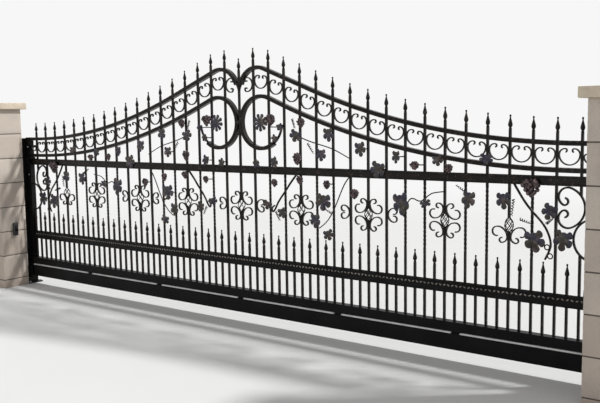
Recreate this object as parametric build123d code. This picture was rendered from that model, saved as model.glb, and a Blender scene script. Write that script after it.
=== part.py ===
from build123d import *
import math
import os

# A wrought iron driveway gate: one cantilever leaf that slides along +X behind its right pillar.
# Millimetres. +X runs to the right along the gate, +Y into the yard, +Z up.
# The origin is the centre of the flat foot of the right pillar.

os.makedirs("parts", exist_ok=True)

# Bars of the leaf, numbered from the middle: even ones are long, odd ones short
bar_pitch = 76.0
last_long_bar = 36
bar_size = 16.0
short_bar_rise = 199.0
spear_rise = 160.0
centre_spear_rise = 261.0
spear_length = 96.0
spear_width = 30.0

# Frame of the leaf, from the ground up
ground_gap = 90.0
track_height = 110.0
track_width = 94.0
track_wall = 5.0
track_slot = 26.0
light_slot = 12.0
spacer_length = 60.0
spacer_bays = 6
beam_height = 65.0
beam_depth = 60.0
beam_wall = 4.0
relief_rise = 198.0
relief_rail_height = 76.0
panel_height = 681.0
straight_rail_height = 60.0
rail_depth = 40.0
end_bay = 92.0
stile_width = 60.0
stile_depth = 50.0

# Arched rails
arch_thickness = 30.0
arch_depth = 40.0
lower_arch_rise = 36.0
lower_arch_flat = 118.0
lower_arch_bend = 440.0
ring_radius = 205.0
ring_rise = 311.0
ring_turn = 239.0
ring_tail_turn = 48.0
ring_tail_size = 14.0
upper_arch_rise = 166.0
upper_arch_flat = 68.0
upper_arch_bend = 720.0
crest_radius = 180.0
crest_rise = 226.0
crest_foot_turn = 17.0

# Tail behind the right pillar
tail_length = 2100.0
tail_brace_size = 40.0

# Pillars
pillar_width = 380.0
pillar_depth = 285.0
course_height = 244.5
courses = 7
left_footing_course = 82.0
right_footing_course = 48.0
cap_height = 65.0
cap_overhang = 40.0
cap_chamfer = 8.0
cap_clearance = 17.0
leaf_overlap = 20.0

# Posts, plates and catches
post_size = 100.0
post_gap = 12.0
post_rise = 192.0
plate_thickness = 12.0
plate_margin = 40.0
plate_side_margin = 25.0
bolt_hole = 14.0
bolt_inset = 18.0
catch_clearance = 6.0
catch_wall = 8.0
catch_length = 60.0
catch_drop = 20.0
upper_catch_height = 80.0
upper_catch_drop = 144.0

# Roller carriages
carriage_length = 320.0
carriage_neck = 18.0
neck_length = 240.0
neck_over_axle = 12.0
wheel_base = 144.0
axle_diameter = 16.0
front_carriage_inset = 210.0
rear_carriage_inset = 420.0
wheel_diameter = 96.0
wheel_width = 22.0
wheel_play = 0.3

# Side guides
guide_diameter = 40.0
guide_pin = 12.0
guide_play = 0.5
guide_arm = 10.0
guide_arm_width = 36.0
guide_plate_width = 100.0
guide_plate_margin = 30.0
guide_plate_thickness = 8.0
guide_post_size = 60.0
guide_post_rise = 40.0

# Light beam eyes on the pillars
eye_width = 50.0
eye_height = 130.0
eye_depth = 35.0
eye_level = 525.0

# Scrolls and baskets
scroll_thickness = 8.0
scroll_depth = 14.0
scroll_play = 0.1
scroll_neck_radius = 36.0
scroll_curl_radius = 11.0
crest_scroll_radius = 56.0
crest_neck_radius = 20.0
crest_curl_radius = 11.0
end_neck_radius = 18.0
end_curl_radius = 10.0
basket_share = 0.608
basket_height = 108.0
basket_radius = 32.0
basket_wire = 7.0
basket_collar = 22.0
basket_collar_height = 9.0
basket_spacing = 8
last_basket_bar = 30
basket_scroll_drop = 80.0
basket_foot_radius = 36.0
basket_foot_curl = 16.0
basket_arm_radius = 70.0
basket_arm_bend = 60.0
basket_arm_end = 32.0
basket_arm_curl = 28.0
basket_arm_tip = 16.0
small_scroll_radius = 50.0
small_scroll_curl = 22.0
small_scroll_rise = 10.0
end_scroll_thickness = 12.0
end_scroll_spine = 130.0
end_scroll_loop = 58.0
end_scroll_curl = 22.0
end_scroll_swing = 70.0
end_scroll_gap = 4.0
end_arc_gap = 22.0

# Vines, leaves and grapes
stem_depth = 12.0
stem_thickness = 10.0
thick_stem = 14.0
leaf_thickness = 4.0
grape_thickness = 18.0
petiole = 10.0

# Derived levels
track_top = ground_gap + track_height
beam_low = track_top + light_slot
beam_top = beam_low + beam_height
relief_low = beam_top + relief_rise
relief_top = relief_low + relief_rail_height
straight_low = relief_top + panel_height
straight_top = straight_low + straight_rail_height
lower_arch_end = straight_top + lower_arch_rise
upper_arch_end = lower_arch_end + upper_arch_rise
ring_z = lower_arch_end + ring_rise
crest_z = ring_z + ring_radius + crest_rise - crest_radius
stile_top = upper_arch_end + arch_thickness / 2
shaft_height = courses * course_height

# Derived places along and across the gate
bar_half = bar_size / 2
rail_half = rail_depth / 2
stile_half = stile_depth / 2
stile_inner = last_long_bar * bar_pitch + end_bay
leaf_half = stile_inner + stile_width
rail_end = leaf_half + tail_length
opening_half = leaf_half - leaf_overlap
leaf_x = -(opening_half + pillar_width / 2)
leaf_y = pillar_depth / 2 + cap_overhang + cap_clearance + arch_depth / 2
ring_x = ring_radius + bar_half + arch_thickness / 2
crest_x = bar_half + (crest_radius + arch_thickness / 2) * math.cos(math.radians(crest_foot_turn))
front_carriage = opening_half + front_carriage_inset
rear_carriage = rail_end - rear_carriage_inset


# Box between two corners
def block(low, high):
    size = [high[i] - low[i] for i in range(3)]
    middle = [(high[i] + low[i]) / 2 for i in range(3)]
    return Pos(*middle) * Box(*size)


# The same shape on the other half of the leaf
def other_half(shape):
    return mirror(shape, about=Plane.YZ)


# Writes one node; pieces of the leaf are built round the middle of the leaf
def save(name, shapes, on_leaf=True):
    place = Pos(leaf_x, leaf_y, 0) if on_leaf else Pos(leaf_x, 0, 0)
    solids = []
    for shape in shapes:
        solids.extend([place * solid for solid in shape.solids()])
    group = Compound(children=solids)
    group.label = name
    export_step(group, f"parts/{name}.step")


# A point turned round a centre in the plane of the leaf
def turned(point, centre, degrees):
    angle = math.radians(degrees)
    dx = point[0] - centre[0]
    dz = point[1] - centre[1]
    x = centre[0] + dx * math.cos(angle) - dz * math.sin(angle)
    z = centre[1] + dx * math.sin(angle) + dz * math.cos(angle)
    return (x, z)


# One move of a bent bar, (length, 0) or (radius, turn in degrees): where it ends and what it turns about
def moved(point, heading, move):
    reach, turn = move
    along = (math.cos(math.radians(heading)), math.sin(math.radians(heading)))
    if turn == 0:
        return (point[0] + reach * along[0], point[1] + reach * along[1]), None
    hand = reach if turn > 0 else -reach
    centre = (point[0] - hand * along[1], point[1] + hand * along[0])
    return turned(point, centre, turn), centre


# One edge of a bent bar, in the plane y
def side_edge(start, heading, move, shift, y):
    across = (-math.sin(math.radians(heading)), math.cos(math.radians(heading)))
    first = (start[0] + shift * across[0], start[1] + shift * across[1])
    end, centre = moved(start, heading, move)
    if centre is None:
        last = (end[0] + shift * across[0], end[1] + shift * across[1])
        return Line((first[0], y, first[1]), (last[0], y, last[1]))
    middle = turned(first, centre, move[1] / 2)
    last = turned(first, centre, move[1])
    return ThreePointArc((first[0], y, first[1]), (middle[0], y, middle[1]), (last[0], y, last[1]))


# A flat bar bent in the plane of the leaf along a list of moves
def bent_bar(start, heading, moves, thickness, depth, y=0.0):
    sides = {1: [], -1: []}
    point = start
    for move in moves:
        for hand in sides:
            sides[hand].append(side_edge(point, heading, move, hand * thickness / 2, y))
        point, centre = moved(point, heading, move)
        heading = heading + move[1]
    first_end = Line(sides[1][0] @ 0, sides[-1][0] @ 0)
    last_end = Line(sides[1][-1] @ 1, sides[-1][-1] @ 1)
    outline = Wire([*sides[1], *sides[-1], first_end, last_end])
    return extrude(make_face(outline), amount=depth / 2, dir=(0, 1, 0), both=True)


# A scroll whose path passes the anchor with the heading, after the moves back and before the moves on
def scroll(anchor, heading, back, ahead, thickness, depth):
    start, way = anchor, heading + 180
    for reach, turn in back:
        start, centre = moved(start, way, (reach, -turn))
        way = way - turn
    return bent_bar(start, way - 180, [*reversed(back), *ahead], thickness, depth)


# Slope at the top of an arched rail that leaves a round of the given centre and radius, runs straight
# to the bend and there turns level at the end height, and the radius of that bend
def arch_shape(centre, radius, end_x, end_z, bend):
    low, high = 0.0, math.pi / 2.2
    for step in range(60):
        slope = (low + high) / 2
        leave_x = centre[0] + radius * math.sin(slope)
        leave_z = centre[1] + radius * math.cos(slope)
        drop = (bend - leave_x) * math.tan(slope) + (end_x - bend) * math.tan(slope / 2)
        if leave_z - drop > end_z:
            low = slope
        else:
            high = slope
    return slope, (end_x - bend) / math.sin(slope)


# Height and slope in degrees of the centreline of such a rail above a place along the leaf
def arch_height(x, centre, radius, end_x, end_z, bend):
    slope, bend_radius = arch_shape(centre, radius, end_x, end_z, bend)
    leave_x = centre[0] + radius * math.sin(slope)
    leave_z = centre[1] + radius * math.cos(slope)
    if x < leave_x:
        reach = max(-radius, min(x - centre[0], radius))
        return centre[1] + math.sqrt(radius ** 2 - reach ** 2), -math.degrees(math.asin(reach / radius))
    if x < bend:
        return leave_z - (x - leave_x) * math.tan(slope), -math.degrees(slope)
    if x < end_x:
        rise = bend_radius - math.sqrt(bend_radius ** 2 - (end_x - x) ** 2)
        return end_z + rise, -math.degrees(math.asin((end_x - x) / bend_radius))
    return end_z, 0.0


# The rail itself, from the stile of the right half towards the middle, ending round the circle
def arched_rail(centre, radius, end_x, end_z, bend, turn):
    slope, bend_radius = arch_shape(centre, radius, end_x, end_z, bend)
    leave_x = centre[0] + radius * math.sin(slope)
    degrees = math.degrees(slope)
    moves = [
        (stile_inner - end_x, 0),
        (bend_radius, -degrees),
        ((bend - leave_x) / math.cos(slope), 0),
        (radius, turn),
    ]
    return bent_bar((stile_inner, end_z), 180, moves, arch_thickness, arch_depth)


# Thin end of the ring, on from where the arched rail stops
def ring_tail(centre, radius, end_x, end_z, bend):
    heading = 180 - math.degrees(arch_shape(centre, radius, end_x, end_z, bend)[0]) + ring_turn
    along = (math.cos(math.radians(heading)), math.sin(math.radians(heading)))
    start = (centre[0] + radius * along[1], centre[1] - radius * along[0])
    return bent_bar(start, heading, [(radius, ring_tail_turn)], ring_tail_size, ring_tail_size)


lower_end_x = stile_inner - lower_arch_flat
lower_arch = ((ring_x, ring_z), ring_radius, lower_end_x, lower_arch_end, lower_arch_bend)
upper_end_x = stile_inner - upper_arch_flat
upper_arch = ((crest_x, crest_z), crest_radius, upper_end_x, upper_arch_end, upper_arch_bend)
crest_turn = 90 + math.degrees(arch_shape(*upper_arch)[0]) - crest_foot_turn
right_lower_arch = arched_rail(*lower_arch, ring_turn) + ring_tail(*lower_arch)
right_upper_arch = arched_rail(*upper_arch, crest_turn)
save("right_lower_arch", [right_lower_arch])
save("left_lower_arch", [other_half(right_lower_arch)])
save("right_upper_arch", [right_upper_arch])
save("left_upper_arch", [other_half(right_upper_arch)])


# Masonry pillars with their caps
def pillar(side, footing_course):
    pillar_height = shaft_height + footing_course
    inner = side * opening_half
    outer = side * (opening_half + pillar_width)
    low_x, high_x = min(inner, outer), max(inner, outer)
    half = pillar_depth / 2
    edge = cap_overhang
    cap_top = pillar_height + cap_height
    shaft = block((low_x, -half, 0), (high_x, half, pillar_height))
    cap = block((low_x - edge, -half - edge, pillar_height), (high_x + edge, half + edge, cap_top))
    cap = chamfer(cap.faces().sort_by(Axis.Z)[-1].edges(), cap_chamfer)
    return shaft, cap


left_pillar, left_cap = pillar(-1, left_footing_course)
right_pillar, right_cap = pillar(1, right_footing_course)
save("left_pillar", [left_pillar], False)
save("left_pillar_cap", [left_cap], False)
save("right_pillar", [right_pillar], False)
save("right_pillar_cap", [right_cap], False)


# Tube of rectangular section along X
def tube(low, high, wall):
    inner_low = (low[0] - 1, low[1] + wall, low[2] + wall)
    inner_high = (high[0] + 1, high[1] - wall, high[2] - wall)
    return block(low, high) - block(inner_low, inner_high)


# Carrier track with its slot below, box beam above it and the spacers of the light slot between them
track_half = track_width / 2
beam_half = beam_depth / 2
track = tube((-leaf_half, -track_half, ground_gap), (rail_end, track_half, track_top), track_wall)
slot_low = (-leaf_half - 1, -track_slot / 2, ground_gap - 1)
slot_high = (rail_end + 1, track_slot / 2, ground_gap + track_wall + 1)
save("carrier_track", [track - block(slot_low, slot_high)])
save("box_beam", [tube((-leaf_half, -beam_half, beam_low), (rail_end, beam_half, beam_top), beam_wall)])

bay_length = 2 * leaf_half / spacer_bays
spacer_count = int((rail_end + leaf_half) // bay_length) + 2
spacers = []
for number in range(spacer_count):
    middle = -leaf_half + number * bay_length
    middle = min(max(middle, -leaf_half + spacer_length / 2), rail_end - spacer_length / 2)
    low = (middle - spacer_length / 2, -beam_half, track_top)
    spacers.append(block(low, (middle + spacer_length / 2, beam_half, beam_low)))
save("beam_spacers", spacers)

# Flat rails and stiles
relief_rail = block((-stile_inner, -rail_half, relief_low), (stile_inner, rail_half, relief_top))
straight_rail = block((-stile_inner, -rail_half, straight_low), (stile_inner, rail_half, straight_top))
right_stile = block((stile_inner, -stile_half, beam_top), (leaf_half, stile_half, stile_top))
save("relief_rail", [relief_rail])
save("straight_rail", [straight_rail])
save("left_stile", [other_half(right_stile)])
save("right_stile", [right_stile])

# Tail: top rail, end upright and a sloping brace down from the right stile
tail_inner = rail_end - stile_width
tail_top_rail = block((leaf_half, -rail_half, relief_low), (tail_inner, rail_half, relief_top))
tail_upright = block((tail_inner, -stile_half, beam_top), (rail_end, stile_half, relief_top))
brace_rise = straight_low - relief_top
brace_height = tail_brace_size * math.hypot(brace_rise, tail_inner - leaf_half) / (tail_inner - leaf_half)
brace_face = make_face(Polyline(
    (leaf_half, 0, straight_low),
    (leaf_half, 0, straight_low + brace_height),
    (tail_inner, 0, relief_top + brace_height),
    (tail_inner, 0, relief_top),
    close=True,
))
tail_brace = extrude(brace_face, amount=tail_brace_size / 2, dir=(0, 1, 0), both=True)
save("tail_top_rail", [tail_top_rail])
save("tail_upright", [tail_upright])
save("tail_brace", [tail_brace])


# Cast spear point, turned about the bar, with its tip at the given height
def spear(x, tip):
    foot = tip - spear_length
    half = spear_width / 2
    corners = [
        (0, 0),
        (bar_half, 0),
        (bar_half * 1.35, spear_length * 0.06),
        (bar_half * 0.8, spear_length * 0.12),
        (half, spear_length * 0.32),
        (half * 0.62, spear_length * 0.55),
        (half * 0.25, spear_length * 0.85),
        (half * 0.36, spear_length * 0.92),
        (half * 0.25, spear_length),
        (0, spear_length),
    ]
    face = make_face(Polyline(*[(x + r, 0, foot + z) for r, z in corners], close=True))
    return revolve(face, Axis((x, 0, 0), (0, 0, 1)), 360)


# Height of the tip of the spear on a long bar
def long_bar_tip(number):
    rise = centre_spear_rise if number == 0 else spear_rise
    return arch_height(abs(number) * bar_pitch, *upper_arch)[0] + rise


# What is left of each bar outside the shapes that cross it
def cut_by(bars, shapes):
    pieces = []
    for bar in bars:
        for shape in shapes:
            bar = bar - shape
        pieces.extend(bar.solids())
    return pieces


# Piece of a square bar between two levels
def upright(x, low, high):
    return block((x - bar_half, -bar_half, low), (x + bar_half, bar_half, high))


# End ornament: a large scroll with its back to the stile, over an arc that stands out from the stile
last_bar_x = last_long_bar * bar_pitch
end_scroll_edge = (last_long_bar - 2) * bar_pitch + bar_half
end_loop_reach = end_scroll_loop + end_scroll_thickness / 2
end_loop_offset = (end_scroll_spine - end_scroll_loop) * math.cos(math.radians(end_scroll_swing))
end_spine_x = end_scroll_edge + end_loop_reach - end_loop_offset
end_scroll_z = straight_low - end_scroll_spine - end_scroll_gap
end_arc_foot = relief_top + short_bar_rise + end_arc_gap
end_reach = end_scroll_spine + end_scroll_thickness
end_across = stile_inner - end_spine_x
end_drop = end_scroll_z - end_arc_foot
end_arc_radius = (end_across ** 2 + end_drop ** 2 - end_reach ** 2) / (2 * (end_reach + end_drop))
end_arc_z = end_arc_foot + end_arc_radius
curl_in = [(end_scroll_spine, end_scroll_swing), (end_scroll_loop, 165), (end_scroll_curl, 210)]


def end_ornament(depth):
    anchor = (end_spine_x + end_scroll_spine, end_scroll_z)
    arc_start = (stile_inner, end_arc_z + end_arc_radius)
    loop = scroll(anchor, 90, curl_in, curl_in, end_scroll_thickness, depth)
    return loop, bent_bar(arc_start, 180, [(end_arc_radius, 180)], end_scroll_thickness, depth)


end_scroll, end_arc = end_ornament(scroll_depth)
save("end_scrolls", [end_scroll, end_arc, other_half(end_scroll), other_half(end_arc)])

# Long bars stand on the beam and end under their spears; rails, baskets and end scrolls cut them
right_numbers = range(2, last_long_bar, 2)
rails = [relief_rail, straight_rail, right_lower_arch, right_upper_arch]
basket_numbers = [*range(0, last_basket_bar, basket_spacing), last_basket_bar]
twisted_numbers = [4, 6, 10, 12, 20, 22, 26, 28, 32]
basket_z = relief_top + basket_share * panel_height
long_bars = []
twisted_bars = []
for number in right_numbers:
    x = number * bar_pitch
    top = long_bar_tip(number) - spear_length
    stretches = [(beam_top, relief_low), (straight_top, top)]
    if number in basket_numbers:
        stretches.append((relief_top, basket_z - basket_height / 2))
        stretches.append((basket_z + basket_height / 2, straight_low))
    elif number not in twisted_numbers:
        stretches.append((relief_top, straight_low))
    else:
        twisted_bars.append(upright(x, relief_top, straight_low))
    long_bars.extend(cut_by([upright(x, low, high) for low, high in stretches], rails))

deep_scroll, deep_arc = end_ornament(2 * bar_size)
last_low = cut_by([upright(last_bar_x, relief_top, end_arc_z)], [deep_arc])
last_high = cut_by([upright(last_bar_x, end_scroll_z, straight_low)], [deep_scroll])
long_bars.append(ShapeList(last_low).sort_by(Axis.Z)[0])
long_bars.append(ShapeList(last_high).sort_by(Axis.Z)[-1])
long_bars.append(upright(last_bar_x, beam_top, relief_low))
last_top = long_bar_tip(last_long_bar) - spear_length
long_bars.extend(cut_by([upright(last_bar_x, straight_top, last_top)], rails))
left_bars = [other_half(bar) for bar in long_bars]
centre_bars = [
    upright(0, beam_top, relief_low),
    upright(0, relief_top, basket_z - basket_height / 2),
    upright(0, basket_z + basket_height / 2, straight_low),
    upright(0, straight_top, long_bar_tip(0) - spear_length),
]
save("long_bars", [*left_bars, *centre_bars, *long_bars])
save("twisted_bars", [*twisted_bars, *[other_half(bar) for bar in twisted_bars]])
long_numbers = range(-last_long_bar, last_long_bar + 1, 2)
save("long_bar_spears", [spear(number * bar_pitch, long_bar_tip(number)) for number in long_numbers])

# Short bars between the long ones
short_numbers = range(-last_long_bar - 1, last_long_bar + 2, 2)
short_top = relief_top + short_bar_rise
short_bars = []
for number in short_numbers:
    short_bars.append(upright(number * bar_pitch, beam_top, relief_low))
    short_bars.append(upright(number * bar_pitch, relief_top, short_top - spear_length))
save("short_bars", short_bars)
save("short_bar_spears", [spear(number * bar_pitch, short_top) for number in short_numbers])

# Scrolls between the arched rails, one in each bay, tilted with the rails
bay_radius = bar_pitch - bar_half - scroll_thickness / 2 - scroll_play


def bay_scroll(x, z, tilt, radius, neck, curl):
    arms = [(radius, 90), (neck, 90), (curl, 165)]
    foot = turned((x, z - radius), (x, z), tilt)
    return scroll(foot, tilt, arms, arms, scroll_thickness, scroll_depth)


lift = (bay_radius - scroll_neck_radius) / 2
first_x = 2 * bar_pitch - bar_half - scroll_thickness / 2 - scroll_play - crest_scroll_radius
first_reach = crest_x - first_x + crest_neck_radius + scroll_thickness / 2
crest_inside = crest_radius - arch_thickness / 2
first_clear = math.sqrt(max(crest_inside ** 2 - first_reach ** 2, 0))
first_level = crest_z + first_clear - crest_scroll_radius + crest_neck_radius / 2
crest_sizes = (crest_scroll_radius, crest_neck_radius, crest_curl_radius)
bay_scrolls = [bay_scroll(first_x, first_level, 90, *crest_sizes)]
for number in range(3, last_long_bar, 2):
    x = number * bar_pitch
    upper, upper_slope = arch_height(x, *upper_arch)
    lower, lower_slope = arch_height(x, *lower_arch)
    level = (upper + lower) / 2 + lift
    tilt = (upper_slope + lower_slope) / 2
    bay_scrolls.append(bay_scroll(x, level, tilt, bay_radius, scroll_neck_radius, scroll_curl_radius))
end_radius = (end_bay - bar_half - scroll_thickness) / 2 - scroll_play
end_middle = last_bar_x + bar_half + (end_bay - bar_half) / 2
end_level = (upper_arch_end + lower_arch_end) / 2
bay_scrolls.append(bay_scroll(end_middle, end_level, 0, end_radius, end_neck_radius, end_curl_radius))
save("arch_scrolls", [*bay_scrolls, *[other_half(shape) for shape in bay_scrolls]])


# Basket of four bowed wires between two collars, in place of a piece of the bar
def basket(x):
    half = basket_height / 2
    foot = basket_collar / 2 - basket_wire / 2
    bow = basket_radius - basket_wire / 2 - foot
    reach = half - basket_collar_height
    radius = (reach ** 2 + bow ** 2) / (2 * bow)
    swing = math.degrees(math.asin(reach / radius))
    wire = bent_bar((foot, -reach), 90 - swing, [(radius, 2 * swing)], basket_wire, basket_wire)
    shape = Cylinder(basket_collar / 2, basket_collar_height)
    ends = [Pos(0, 0, side * (half - basket_collar_height / 2)) * shape for side in (-1, 1)]
    body = ends[0] + ends[1]
    for turn in range(4):
        body = body + Rot(0, 0, 90 * turn) * wire
    return Pos(x, 0, basket_z) * body


# Scroll below a basket on its right side: it leans on the bar and opens outward
def basket_scroll(x):
    anchor = (x + bar_half + scroll_thickness / 2 + scroll_play, basket_z - basket_scroll_drop)
    below = [(basket_foot_radius, -90), (basket_foot_curl, -190)]
    above = [
        (basket_arm_radius, -50),
        (basket_arm_bend, -50),
        (basket_arm_end, -100),
        (basket_arm_curl, -70),
        (basket_arm_tip, -30),
    ]
    return scroll(anchor, 90, below, above, scroll_thickness, scroll_depth)


baskets = []
basket_scrolls = []
for number in basket_numbers:
    x = number * bar_pitch
    sides = [x, -x] if number else [x]
    baskets.extend([basket(place) for place in sides])
    lower_right = basket_scroll(x)
    about_bar = Plane(origin=(x, 0, 0), x_dir=(0, 1, 0), z_dir=(1, 0, 0))
    about_basket = Plane(origin=(0, 0, basket_z))
    group = [lower_right, mirror(lower_right, about=about_bar)]
    if number < last_basket_bar:
        group = group + [mirror(shape, about=about_basket) for shape in group]
    basket_scrolls.extend(group)
    if number:
        basket_scrolls.extend([other_half(shape) for shape in group])
save("baskets", baskets)
save("basket_scrolls", basket_scrolls)


# Small scroll with its back against one side of a bar
def bar_scroll(number, side):
    x = number * bar_pitch + side * (bar_half + scroll_thickness / 2 + scroll_play)
    arm = [(small_scroll_radius, -side * 90), (small_scroll_curl, -side * 200)]
    return scroll((x, basket_z + small_scroll_rise), 90, arm, arm, scroll_thickness, scroll_depth)


bar_scrolls = [bar_scroll(2, 1), bar_scroll(14, -1), bar_scroll(18, 1)]
save("bar_scrolls", [*bar_scrolls, *[other_half(shape) for shape in bar_scrolls]])

# Vines lie in front of the bars. Places are in bar pitches along the leaf and in shares of the
# panel height above the relief rail, or of the height of the lower arch above the straight rail.
bar_face = -bar_half
rail_face = -rail_half


def in_panel(along, share):
    return (along * bar_pitch, relief_top + share * panel_height)


def under_arch(along, share):
    arch = arch_height(along * bar_pitch, *lower_arch)[0]
    return (along * bar_pitch, straight_top + share * (arch - straight_top))


# Stem through a run of points, with an arc at each turn as large as its runs allow
def stem(points, thickness):
    headings = []
    runs = []
    for first, last in zip(points, points[1:]):
        headings.append(math.degrees(math.atan2(last[1] - first[1], last[0] - first[0])))
        runs.append(math.dist(first, last))
    moves = []
    left_over = runs[0]
    for number in range(1, len(runs)):
        turn = (headings[number] - headings[number - 1] + 180) % 360 - 180
        tangent = 0.45 * min(runs[number - 1], runs[number])
        moves.append((left_over - tangent, 0))
        moves.append((tangent / math.tan(math.radians(abs(turn) / 2)), turn))
        left_over = runs[number] - tangent
    moves.append((left_over, 0))
    middle = bar_face - stem_depth / 2
    return bent_bar(points[0], headings[0], moves, thickness, stem_depth, middle)


stems = [
    stem([in_panel(7.7, 1.02), in_panel(6.2, 0.82), in_panel(5.2, 0.69), in_panel(4.7, 0.575),
          in_panel(4.45, 0.595), in_panel(4.7, 0.64)], thick_stem),
    stem([in_panel(14.1, 1.02), in_panel(13.1, 0.865), in_panel(12.3, 0.67), in_panel(11.6, 0.54),
          in_panel(10.3, 0.42)], stem_thickness),
    stem([in_panel(30.4, 1.02), in_panel(31.9, 0.77), in_panel(33.4, 0.61), in_panel(33.75, 0.47),
          in_panel(33.5, 0.38), in_panel(33.2, 0.315)], thick_stem),
    stem([in_panel(19.9, 0.62), in_panel(20.6, 0.83), in_panel(21.7, 0.78), in_panel(22.6, 0.86),
          in_panel(24.2, 0.9)], stem_thickness),
    stem([under_arch(7.6, 0.575), under_arch(9.9, 0.516), under_arch(11.9, 0.484),
          under_arch(14.1, 0.284)], stem_thickness),
]


# Short stalk across the face of the leaf from its bar to the middle of a leaf or cluster
def stalk(number, place):
    low_x, high_x = sorted((number * bar_pitch, place[0]))
    half = petiole / 2
    low = (low_x - half, rail_face, place[1] - half)
    return block(low, (high_x + half, bar_face, place[1] + half))


# Leaf of five round lobes cut from sheet
def vine_leaf(place, width, height, turn):
    lobe = width * 0.23
    outline = Circle(width * 0.26)
    for angle, reach in ((90, 1.0), (30, 0.95), (150, 0.95), (-28, 0.86), (208, 0.86)):
        middle_x = math.cos(math.radians(angle)) * reach * (width / 2 - lobe)
        middle_z = math.sin(math.radians(angle)) * reach * (height / 2 - lobe * 0.7)
        outline = outline + Pos(middle_x, middle_z) * Circle(lobe)
    plane = Plane(origin=(place[0], rail_face, place[1]), x_dir=(1, 0, 0), z_dir=(0, -1, 0))
    return extrude(plane * Rot(0, 0, turn) * outline, amount=leaf_thickness)


# Cluster of grapes, wide at the top and pointed at the foot
def grape_cluster(place, width, height):
    grape = width * 0.2
    outline = Circle(grape)
    for across, up in ((-0.3, 0.34), (0, 0.3), (0.3, 0.34), (-0.18, 0.05), (0.18, 0.05), (0, -0.34)):
        outline = outline + Pos(across * width, up * height) * Circle(grape)
    outline = outline + Pos(0, -0.18 * height) * Circle(grape)
    plane = Plane(origin=(place[0], rail_face, place[1]), x_dir=(1, 0, 0), z_dir=(0, -1, 0))
    return extrude(plane * outline, amount=grape_thickness)


ring_leaves = [
    (4, (ring_x + 0.03 * ring_radius, ring_z), 140, 140, 20),
    (4, (ring_x + 0.98 * ring_radius, ring_z - 0.2 * ring_radius), 62, 62, 200),
    (4, (ring_x + 0.7 * ring_radius, ring_z - 0.62 * ring_radius), 60, 60, 150),
]
panel_leaves = [
    (4, in_panel(3.85, 0.64), 96, 72, 160),
    (6, in_panel(5.8, 0.56), 84, 84, 200),
    (10, in_panel(9.95, 0.5), 92, 112, 180),
    (12, in_panel(11.55, 0.355), 96, 82, 200),
    (10, in_panel(10.95, 0.714), 140, 130, 175),
    (20, in_panel(19.7, 0.745), 125, 160, 190),
    (22, in_panel(22.2, 0.778), 84, 60, 20),
    (26, in_panel(26.4, 0.83), 96, 120, 170),
    (30, in_panel(29.6, 0.838), 98, 112, 185),
    (34, in_panel(33.55, 0.758), 100, 104, 160),
    (32, in_panel(32.35, 0.474), 134, 140, 190),
    (34, in_panel(34.7, 0.502), 120, 132, 170),
]
rail_leaves = [
    (2, under_arch(2.45, 0.044), 66, 76, 10),
    (4, under_arch(4.85, 0.067), 70, 92, 200),
    (8, under_arch(7.6, 0.561), 112, 92, 160),
    (12, under_arch(11.65, 0.781), 92, 104, 185),
    (10, under_arch(10.75, 0.286), 88, 92, 180),
    (16, under_arch(15.3, 0.611), 92, 108, 190),
    (18, under_arch(17.2, 0.010), 120, 118, 165),
    (20, under_arch(19.2, 0.572), 62, 90, 180),
    (24, under_arch(23.4, 0.717), 80, 74, 190),
    (28, under_arch(28.0, 1.493), 96, 70, 175),
]
grapes = [
    (4, (ring_x + 0.55 * ring_radius, ring_z + 0.1 * ring_radius), 96, 92),
    (8, under_arch(8.35, 0.842), 72, 78),
    (8, under_arch(7.8, 0.166), 76, 104),
    (22, under_arch(21.15, 0.304), 72, 66),
    (24, under_arch(24.5, 0.312), 70, 66),
    (4, in_panel(4.85, 0.905), 62, 66),
    (8, in_panel(8.1, 0.95), 66, 70),
    (12, in_panel(11.4, 0.912), 64, 70),
    (14, in_panel(14.65, 0.828), 74, 80),
    (32, in_panel(32.0, 0.98), 120, 124),
]
leaf_spots = [*ring_leaves, *panel_leaves, *rail_leaves]
leaf_shapes = [vine_leaf(place, width, height, turn) for number, place, width, height, turn in leaf_spots]
grape_shapes = [grape_cluster(place, width, height) for number, place, width, height in grapes]
stalks = []
for number, place, *rest in [*leaf_spots, *grapes]:
    stalks.extend(cut_by([stalk(number, place)], [straight_rail, right_lower_arch]))
stem_pieces = []
for shape in stems:
    stem_pieces.extend(cut_by([shape], [straight_rail, *stalks]))
save("vine_leaves", [*leaf_shapes, *[other_half(shape) for shape in leaf_shapes]])
save("grape_clusters", [*grape_shapes, *[other_half(shape) for shape in grape_shapes]])
save("vine_stems", [*stem_pieces, *stalks, *[other_half(shape) for shape in [*stem_pieces, *stalks]]])


# Plate with a bolt hole near each corner, lying on the ground
def floor_plate(x, y, size_x, size_y):
    plate = block((x - size_x / 2, y - size_y / 2, 0), (x + size_x / 2, y + size_y / 2, plate_thickness))
    for dx in (-1, 1):
        for dy in (-1, 1):
            hole_x = x + dx * (size_x / 2 - bolt_inset)
            hole_y = y + dy * (size_y / 2 - bolt_inset)
            plate = plate - Pos(hole_x, hole_y, 0) * Cylinder(bolt_hole / 2, 4 * plate_thickness)
    return plate


# Receiving post just past the left end of the leaf, on its plate
post_high_x = -leaf_half - post_gap
post_low_x = post_high_x - post_size
post_half = post_size / 2
post_plate_x = post_size + 2 * plate_margin
post_plate_y = 2 * (leaf_y - pillar_depth / 2)
upper_catch_low = straight_top - upper_catch_drop + upper_catch_height
post_height = upper_catch_low + upper_catch_height + post_rise
post = block((post_low_x, -post_half, plate_thickness), (post_high_x, post_half, post_height))
post_plate = floor_plate((post_low_x + post_high_x) / 2, 0, post_plate_x, post_plate_y)
save("receiving_post", [post + post_plate])


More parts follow.
